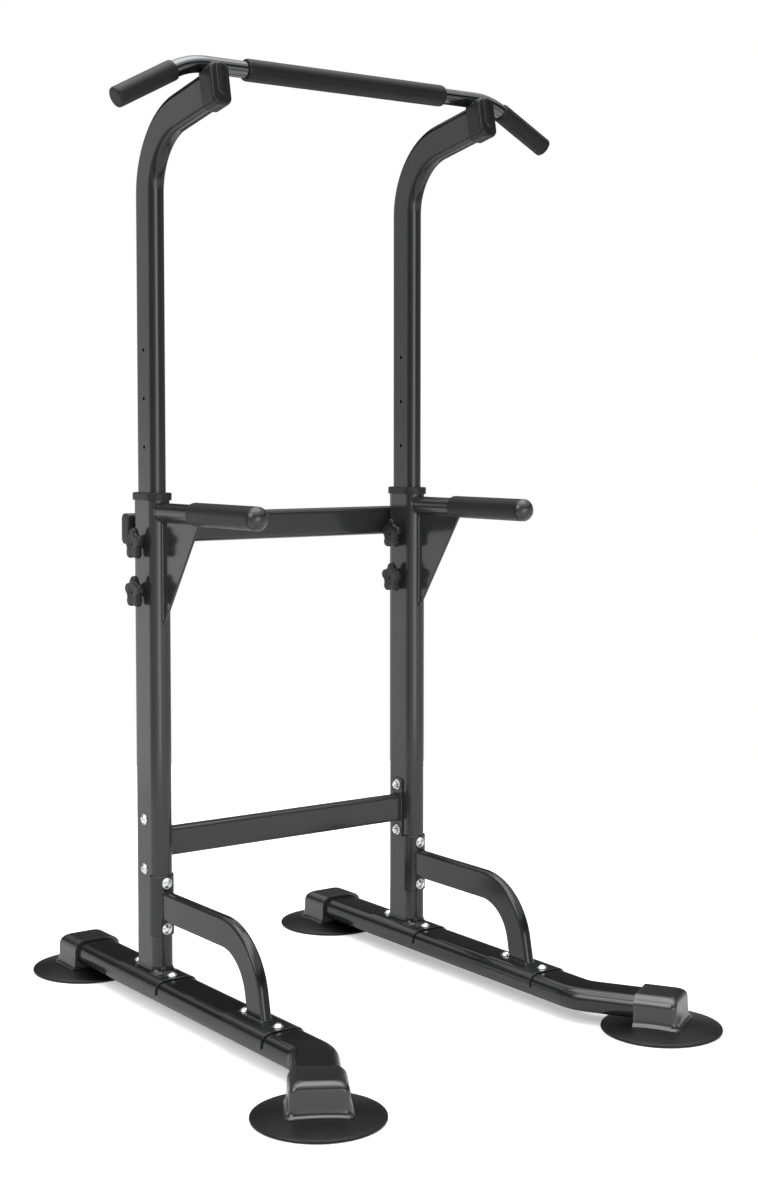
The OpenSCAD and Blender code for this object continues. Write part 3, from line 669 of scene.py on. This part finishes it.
# Braces
for label, side in SIDES.items():
    x = side * TUBE_X
    way = path([("s", 197), ("a", 100, -78), ("s", 60)], start=(BRACE_LIFT, 0), fine=60)
    rings = swept(way, rounded(52, 20, 7), (x, BACK, BRACE_Z), -Y, Z)
    foot_dir = (-Y * math.cos(way[-1][2]) + Z * math.sin(way[-1][2])).normalized()
    keep = [r for r in rings if min(p.z for p in r) > SADDLE_TOP]
    cut = [p + foot_dir * ((SADDLE_TOP - 0.2 - p.z) / foot_dir.z) for p in keep[-1]]
    brace = Shape()
    brace.loft(keep + [cut])
    brace.joined(bead([p + Vector((0, 0, 0.6)) for p in cut], 2.4))
    brace.joined(bead([Vector((p.x, BACK - BRACE_LIFT, p.z)) for p in keep[0]], 2.2))
    piece(f"v_brace_{label}", brace, PAINT, "base_frame", [f"brace_{label}"])

    plates = Shape()
    plates.loft([[Vector((x + p[0], BACK - BRACE_REACH + d, BASE_MID + p[1])) for p in line]
                 for line, d in soft_ends(strip(*FLAT_OVAL, PLATE, -2), FOOT_HALF)])
    wrap = [(px, -py) for px, py in strip(*UPRIGHT_OVAL, PLATE, 23)][::-1]
    plates.loft([[Vector((x + p[0], BACK + p[1], BRACE_Z + d)) for p in line]
                 for line, d in soft_ends(wrap, HUG_HALF)])
    piece(f"v_brace_plates_{label}", plates, PAINT, "base_frame", [f"brace_plates_{label}"])


# Crossbars
def straight(w, h, r, centre, length, k):
    return tube([(-length / 2, 0, 0), (length / 2, 0, 0)], w, h, r, WALL, centre, X, Y, k)


low = straight(26, 50, 6, (0, BACK, LOW_Z), 508, 6)
plates = Shape()
for side in SIDES.values():
    inner_face = 254 if side > 0 else -254 - PLATE
    plates.box_edge(rounded(30, 114, 6, 6), (inner_face, BACK, LOW_Z), Y, Z, PLATE)
    seam = [Vector((side * 253.6, BACK + p[0], LOW_Z + p[1])) for p in rounded(27, 51, 6.5, 6)]
    low.joined(bead(seam, 1.8))
piece("v_lower_crossbar", low, PAINT, "base_frame", ["lower_crossbar"])
piece("v_lower_crossbar_plates", plates, PAINT, "base_frame", ["lower_crossbar_plates"])

MID_HALF = 300
piece("v_rear_crossbar", straight(26, 54, 10, (0, MID_Y, MID_Z), 2 * MID_HALF, 8), PAINT, "base_frame",
      ["rear_crossbar"])
plugs = Shape()
outline, stem = rounded(26, 54, 10), rounded(22, 50, 8)
rows = [(stem, -14), (stem, 0), (outline, 0), (outline, 1), (shrunk(outline, 0.5), 2),
        (shrunk(outline, 1.6), 2.7), (shrunk(outline, 3.4), 3)]
for side in SIDES.values():
    plugs.loft([[Vector((side * (MID_HALF + d), MID_Y + p[0], MID_Z + p[1])) for p in line]
                for line, d in rows])
piece("v_rear_crossbar_plugs", plugs, COLLAR, "base_frame", ["rear_crossbar_plugs"])


def foam_sleeve(at, axis, low, high, steps, radius, bore, rounding, waves, fine_ends, wave_from=0.0):
    """A foam sleeve from low to high along an axis: rounded ends, and a surface that waves a little.

    rounding is (depth, reach) and waves are (height, frequency) pairs. fine_ends are rows added to the
    rounding, as (radius, distance): from the low end, or from the high end if the distance is negative."""
    depth, reach = rounding
    rows = []
    for i in range(steps + 1):
        d = low + (high - low) * i / steps
        edge = min(d - low, high - d)
        wave = sum(height * math.sin((d - wave_from) * often) for height, often in waves)
        rows.append((radius - depth * max(0.0, 1 - edge / reach) ** 2 + wave, d))
    for r, d in fine_ends:
        rows.append((r, low + d if d > 0 else high + d))
    rows.sort(key=lambda row: row[1])
    sleeve = Shape()
    sleeve.lathe([(bore, low)] + rows + [(bore, high)], at, axis, 64, loop=True)
    return sleeve


# Dip handles
for label, side in SIDES.items():
    x = side * TUBE_X
    at = (x, BACK, DIP_Z)
    handle = Shape()
    handle.lathe([(16, 37.5), (16, DIP_END), (14, DIP_END), (14, 37.5)], at, -Y, 64, loop=True)
    angles = [TAU * i / 64 for i in range(64)]
    handle.joined(bead([Vector((x + 16.4 * math.cos(a), BACK - 38.6 + 3.2 * math.cos(a) ** 2,
                                DIP_Z + 16.4 * math.sin(a))) for a in angles], 2.2))
    piece(f"v_dip_handle_{label}", handle, PAINT, "base_frame", [f"dip_handle_{label}"])

    gusset = Shape()
    outline = [(40, DIP_Z - 15.6), (40, 678), (44, 680), (163, 854), (163, DIP_Z - 15.6)]
    gusset.box_edge(outline, (x + 2.5, BACK, 0), -Y, Z, 5, 0.7)
    for edge in (-2.6, 2.6):
        upright_seam = [Vector((x + edge, BACK - 41.2, z)) for z in range(684, 854, 6)]
        gusset.joined(bead(upright_seam, 1.7, closed=False))
        handle_seam = [Vector((x + edge, BACK - y, DIP_Z - 16.6)) for y in range(44, 147, 6)]
        gusset.joined(bead(handle_seam, 1.5, closed=False))
    piece(f"v_dip_gusset_{label}", gusset, PAINT, "base_frame", [f"dip_gusset_{label}"])

    foam_r = GRIP_D / 2 - 0.1
    near_end = [(foam_r - 1.1 * (1 - d / 1.8) ** 2, d) for d in (0.5, 1.1)]
    grip = foam_sleeve(at, -Y, DIP_FOAM, DIP_END, 60, foam_r, 16.05, (1.3, 1.8),
                       [(0.02, 0.21), (0.015, 0.63)], near_end, wave_from=DIP_FOAM)
    piece(f"v_dip_grip_{label}", grip, FOAM, "base_frame", [f"dip_grip_{label}"], smooth=50)

    cap = Shape()
    cap_rise = 14
    ball_r = ((GRIP_D / 2) ** 2 + cap_rise**2) / (2 * cap_rise)
    rows = [(13.9, DIP_END - 18), (13.9, DIP_END), (19.2, DIP_END), (19.75, DIP_END + 0.3)]
    for i in range(1, 17):
        a = math.radians(69 * (1 - i / 17))
        rows.append((ball_r * math.sin(a), DIP_END + cap_rise - ball_r + ball_r * math.cos(a)))
    cap.lathe(rows + [(0.15, DIP_END + cap_rise)], at, -Y, 64)
    piece(f"v_dip_end_cap_{label}", cap, GLOSS, "base_frame", [f"dip_end_cap_{label}"],
          smooth=40)


# Masts
for label, side in SIDES.items():
    x = side * TUBE_X
    way = path([("s", NECK_Z - MAST_FOOT), ("a", NECK_R, -NECK_A), ("s", NECK_LEN)], heading=90, fine=70)
    mast = tube(way, MAST_D, MAST_W, MAST_R, WALL, (x, BACK, MAST_FOOT), -Y, Z, 10)
    holes = Shape()
    drill = [(HOLE_D / 2, -6), (HOLE_D / 2, 6)]
    for k in range(-2, 6):
        holes.lathe(drill, (x - MAST_W / 2, BACK, PIN_Z["lower"] + HOLE_PITCH * k), X, 32)
    holes.lathe([(BAR_D / 2, -60), (BAR_D / 2, 60)], (x, BAR.y, BAR.z), X, 64)
    piece(f"v_mast_{label}", mast, MAST, "mast_frame", [f"mast_{label}"], cut=holes)

    # Bracket: a pressed shell over the mast's tip, ribbed down its front
    def on_tip(across, over, out):
        return Vector((x + across, 0, 0)) + TIP + OVER * over + OUT * out

    top, low_edge = 38, -35
    mid, high = (top + low_edge) / 2, top - low_edge
    outline = rounded(36, high, 13, 8)
    inside = rounded(30, high - 6, 9, 8)
    shell = Shape()
    rows = [(inside, -6), (shrunk(outline, 0.7), -6), (outline, -5.3), (outline, 27),
            (shrunk(outline, 0.5), 29.6), (shrunk(outline, 1.6), 31.6), (shrunk(outline, 3.2), 32.7),
            (shrunk(outline, 5.4), 33.0)]
    shell.loft([[on_tip(p[0], mid + p[1], d) for p in line] for line, d in rows], start=False)
    shell.loft([[on_tip(p[0], mid + p[1], d) for p in inside] for d in (29, -6)], end=False)
    rib = Shape()
    rows = []
    for half, d in ((8.2, 26), (8.2, 31.2), (7.9, 33.0), (7.0, 34.4), (5.4, 35.4), (3.2, 35.95), (0.8, 36.1)):
        rows.append([on_tip(p[0], 8.9 + p[1], d) for p in rounded(2 * half, 41 + 2 * half, half * 0.98, 8)])
    rib.loft(rows)
    notch = Shape()
    notch.lathe([(BAR_D / 2 + 0.1, -60), (BAR_D / 2 + 0.1, 60)], (x, BAR.y, BAR.z), X, 64)
    cad = [f"bar_bracket_{label}"]
    piece(f"v_bar_bracket_{label}", shell, BRACKET, "mast_frame", cad, cut=notch)
    piece(f"v_bar_bracket_rib_{label}", rib, BRACKET, "mast_frame", cad, smooth=60)


# Pull-up bar
def arm_direction(side):
    """Outward and down along one drooping arm."""
    droop = math.radians(BAR_DROOP)
    return Vector((side * math.cos(droop), 0, -math.sin(droop)))


def corner(side):
    """Where one arm's middle line meets the straight part's."""
    return Vector((side * BAR_CORNER, BAR.y, BAR.z))


arm_straight = BAR_ARM - BAR_TAN - 2
way = path([("s", arm_straight), ("a", BAR_BEND, -BAR_DROOP), ("s", 2 * (BAR_CORNER - BAR_TAN)),
            ("a", BAR_BEND, -BAR_DROOP), ("s", arm_straight)], heading=BAR_DROOP, fine=90)
start = corner(-1) + arm_direction(-1) * (BAR_ARM - 2)
outer, inner = (swept(way, ring(r, 64), start, X, Z) for r in (BAR_D / 2, BAR_D / 2 - WALL))
bar = Shape()
bar.loft(outer + inner[::-1], loop=True)
piece("v_pull_up_bar", bar, CHROME, "mast_frame", ["pull_up_bar"])

bore = BAR_D / 2 + 0.05
half = 205
grip = foam_sleeve((0, BAR.y, BAR.z), X, -half, half, 100, 18.75, bore, (1.6, 2.2),
                   [(0.03, 0.11), (0.02, 0.37)], [(18.0, 0.7), (18.0, -0.7)])
piece("v_bar_grip_center", grip, FOAM, "mast_frame", ["bar_grip_center"], smooth=50)

plugs = Shape()
for label, side in SIDES.items():
    grip = foam_sleeve(corner(side), arm_direction(side), BAR_TAN, BAR_ARM, 40, 17.3, bore, (1.2, 1.8),
                       [(0.02, 0.31)], [(16.8, 0.6), (16.8, -0.6)])
    piece(f"v_bar_grip_{label}", grip, FOAM, "mast_frame", [f"bar_grip_{label}"], smooth=50)
    rows = [(12, -18), (12, -2), (13.9, -2), (13.9, -0.2), (13.3, 0.4), (0.3, 0.5)]
    plugs.lathe([(r, BAR_ARM + d) for r, d in rows], corner(side), arm_direction(side))
piece("v_bar_end_plugs", plugs, COLLAR, "mast_frame", ["bar_end_plugs"])


# Locking screws and knobs
def screw(at, axis, length, threaded, radius=4.98, pitch=2.0, depth=0.55):
    """A locking screw: a plain nose at its tip, then threads, then plain where the knob hides it."""
    n, step, thread_start = 32, 0.25, 6.6
    side, other = beside(axis)
    nose = [(2.2, 0.0), (3.2, 1.5), (3.2, 6.0), (4.6, 6.4)]
    sections = [(ring(r, n), h) for r, h in nose]
    for i in range(int((length - thread_start) / step) + 1):
        h = thread_start + i * step
        points = []
        for j, p in enumerate(ring(1, n)):
            groove = abs((h / pitch - j / n) % 1 - 0.5) * 2
            r = radius - (depth * groove if h < threaded else 0)
            points.append((r * p[0], r * p[1]))
        sections.append((points, h))
    shape = Shape()
    shape.loft([turned(at, axis, side, other, h, points) for points, h in sections])
    return shape


def star(grow=0.0, n=120):
    """Five round lobes on a round middle, their meetings softened by a high power mean."""
    lobe_at, lobe_r, middle_r, sharp = 19.5, 9.0, 21.4, 24
    out = []
    for i in range(n):
        a = (TAU * i / n + TAU / 10) % (TAU / 5) - TAU / 10
        reach = lobe_r**2 - (lobe_at * math.sin(a)) ** 2
        lobe = lobe_at * math.cos(a) + math.sqrt(reach) if reach > 0 else 0.0
        r = (lobe**sharp + middle_r**sharp) ** (1 / sharp) + grow
        out.append((r * math.cos(TAU * i / n), r * math.sin(TAU * i / n)))
    return out


for label, side in SIDES.items():
    for row_name, z in PIN_Z.items():
        key = f"{label}_{row_name}"
        face = side * TUBE_X - 20
        piece(f"v_pin_{key}", screw((face + 4.4, BACK, z), -X, 23.0, 14.0), BLACK, f"pin_{key}",
              [f"pin_{key}"], smooth=50)

        def knob_row(points, d):
            return [Vector((face - KNOB_LIFT - d, BACK + p[1], z + p[0])) for p in points]

        hub = [(5.06, 0.0), (12.2, 0.0), (13, 0.8), (13, 2.6), (14.5, 3.0)]
        lobes = [(-3.2, 3.05), (-1.2, 3.5), (-0.2, 4.6), (0, 6.0), (0, 9.6), (-0.35, 11.2), (-1.4, 12.5),
                 (-3.2, 13.3), (-6.0, 13.5)]
        dish = [(12.2, 13.5), (11.4, 13.1), (10.6, 12.9), (4.4, 12.9), (3.6, 12.5), (2.2, 12.4), (2.1, 10.8)]
        rows = [(ring(r, 120), d) for r, d in hub]
        rows += [(star(grow), d) for grow, d in lobes]
        rows += [(ring(r, 120), d) for r, d in dish]
        knob = Shape()
        knob.loft([knob_row(points, d) for points, d in rows], start=False)
        knob.loft([knob_row(ring(5.06, 120), d) for d in (0.0, 9.0)], start=False)
        piece(f"v_knob_{key}", knob, KNOB, f"knob_{key}", [f"knob_{key}"], smooth=38)


# What stays as CAD: the glides, inside the uprights
for name in ("mast_glide_left", "mast_glide_right"):
    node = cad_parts[name]
    node.data.materials.clear()
    node.data.materials.append(COLLAR)


# Stage: a pale floor and a studio of soft bands of light. They are bright level in front, high on the
# left and overhead, weaker low behind on the left, and dim elsewhere. UPPER, LOWER and KEY are brightness
# by compass angle in degrees (0 is +X, 90 is +Y), each times its own brightness by the sine of height.
# SKY is by the sine of height alone.
UPPER = [(-180, 0.3), (-165, 0.3), (-145, 0.4), (-125, 0.7), (-112, 1.8), (-99, 4.0), (-88, 3.8),
         (-76, 1.6), (-64, 0.35), (-45, 0.3), (-36, 0.6), (-25, 0.4), (0, 0.35), (45, 0.3), (65, 0.1),
         (85, 0.1), (103, 0.9), (118, 0.88), (132, 0.85), (142, 0.45), (156, 0.4), (180, 0.3)]
UPPER_HEIGHT = [(-1.0, 0.0), (-0.06, 0.0), (0.02, 1.0), (0.19, 1.0), (0.27, 0.0), (1.0, 0.0)]
LOWER = [(-180, 0.5), (-165, 0.5), (-145, 0.8), (-125, 1.4), (-114, 2.6), (-104, 3.8), (-95, 2.8),
         (-82, 1.1), (-66, 1.3), (-54, 0.7), (-45, 0.8), (-30, 0.8), (0, 0.7), (45, 0.5), (65, 0.1),
         (85, 0.1), (103, 1.4), (118, 1.35), (127, 1.15), (134, 1.0), (142, 0.7), (156, 0.5), (180, 0.5)]
LOWER_HEIGHT = [(-1.0, 0.4), (-0.34, 0.4), (-0.22, 1.0), (-0.06, 1.0), (0.02, 0.0), (1.0, 0.0)]
KEY = [(-180, 1.0), (-160, 1.0), (-148, 0.0), (165, 0.0), (176, 1.0), (180, 1.0)]
KEY_HEIGHT = [(-1.0, 0.0), (0.24, 0.0), (0.36, 4.0), (0.70, 4.0), (0.80, 0.0), (1.0, 0.0)]
SKY = [(-1.0, 0.0), (0.45, 0.0), (0.62, 1.0), (0.80, 1.0), (0.90, 4.0), (1.0, 4.0)]
BRIGHTEST = 4.0


def stage():
    scene = bpy.context.scene
    scene.view_settings.view_transform = "Standard"
    floor_mesh = bpy.data.meshes.new("floor")
    rim = ring(2.4, 96)
    floor_mesh.from_pydata([(x, y, 0) for x, y in rim], [], [tuple(range(len(rim)))])
    floor = bpy.data.objects.new("floor", floor_mesh)
    floor.location.z = -0.0006
    scene.collection.objects.link(floor)
    mat, nodes, links, bsdf = nodes_of("pale_floor")
    bsdf.inputs["Base Color"].default_value = (0.88, 0.88, 0.88, 1)
    bsdf.inputs["Roughness"].default_value = 0.7
    bsdf.inputs["Emission Color"].default_value = (1, 1, 1, 1)
    bsdf.inputs["Emission Strength"].default_value = 0.35
    bsdf.inputs["Specular IOR Level"].default_value = 0.0
    # Glossy rays see a darker grey copy of the floor: painted shade in the floor's reflections on the frame.
    floor_shade_for_reflections = nodes.new("ShaderNodeBsdfDiffuse")
    floor_shade_for_reflections.inputs["Color"].default_value = (0.6, 0.6, 0.6, 1)
    ray = nodes.new("ShaderNodeLightPath")
    either = nodes.new("ShaderNodeMixShader")
    links.new(ray.outputs["Is Glossy Ray"], either.inputs["Fac"])
    links.new(bsdf.outputs["BSDF"], either.inputs[1])
    links.new(floor_shade_for_reflections.outputs["BSDF"], either.inputs[2])
    links.new(either.outputs["Shader"], nodes["Material Output"].inputs["Surface"])
    floor_mesh.materials.append(mat)

    world = bpy.data.worlds.new("studio")
    scene.world = world
    world.use_nodes = True
    nodes, links = world.node_tree.nodes, world.node_tree.links
    nodes.clear()
    coords = nodes.new("ShaderNodeTexCoord")
    split = nodes.new("ShaderNodeSeparateXYZ")
    links.new(coords.outputs["Generated"], split.inputs[0])

    def math_node(kind, first, second):
        m = nodes.new("ShaderNodeMath")
        m.operation = kind
        for socket, value in zip(m.inputs, (first, second)):
            if isinstance(value, float):
                socket.default_value = value
            else:
                links.new(value, socket)
        return m.outputs["Value"]

    def ramp(value, low, high, stops):
        """Brightness by a value, through stops of (value, brightness) up to the brightest."""
        line = nodes.new("ShaderNodeMapRange")
        line.inputs["From Min"].default_value = low
        line.inputs["From Max"].default_value = high
        links.new(value, line.inputs["Value"])
        curve = nodes.new("ShaderNodeValToRGB")
        curve.color_ramp.interpolation = "EASE"
        marks = curve.color_ramp.elements
        while len(marks) < len(stops):
            marks.new(0.5)
        for mark, (at, bright) in zip(marks, stops):
            mark.position = (at - low) / (high - low)
            mark.color = (bright / BRIGHTEST,) * 3 + (1,)
        links.new(line.outputs["Result"], curve.inputs["Fac"])
        return math_node("MULTIPLY", curve.outputs["Color"], BRIGHTEST)

    turn = math_node("ARCTAN2", split.outputs["Y"], split.outputs["X"])

    def around(stops):
        return ramp(turn, -math.pi, math.pi, [(math.radians(a), v) for a, v in stops])

    def by_height(stops):
        return ramp(split.outputs["Z"], -1.0, 1.0, stops)

    total = by_height(SKY)
    for wall, height in ((UPPER, UPPER_HEIGHT), (LOWER, LOWER_HEIGHT), (KEY, KEY_HEIGHT)):
        total = math_node("ADD", total, math_node("MULTIPLY", around(wall), by_height(height)))
    glow = nodes.new("ShaderNodeBackground")
    links.new(total, glow.inputs["Strength"])
    white = nodes.new("ShaderNodeBackground")
    white.inputs["Strength"].default_value = 1.0
    white.inputs["Color"].default_value = glow.inputs["Color"].default_value = (1, 1, 1, 1)
    which = nodes.new("ShaderNodeLightPath")
    mix = nodes.new("ShaderNodeMixShader")
    links.new(which.outputs["Is Camera Ray"], mix.inputs["Fac"])
    links.new(glow.outputs["Background"], mix.inputs[1])
    links.new(white.outputs["Background"], mix.inputs[2])
    out = nodes.new("ShaderNodeOutputWorld")
    links.new(mix.outputs["Shader"], out.inputs["Surface"])


stage()
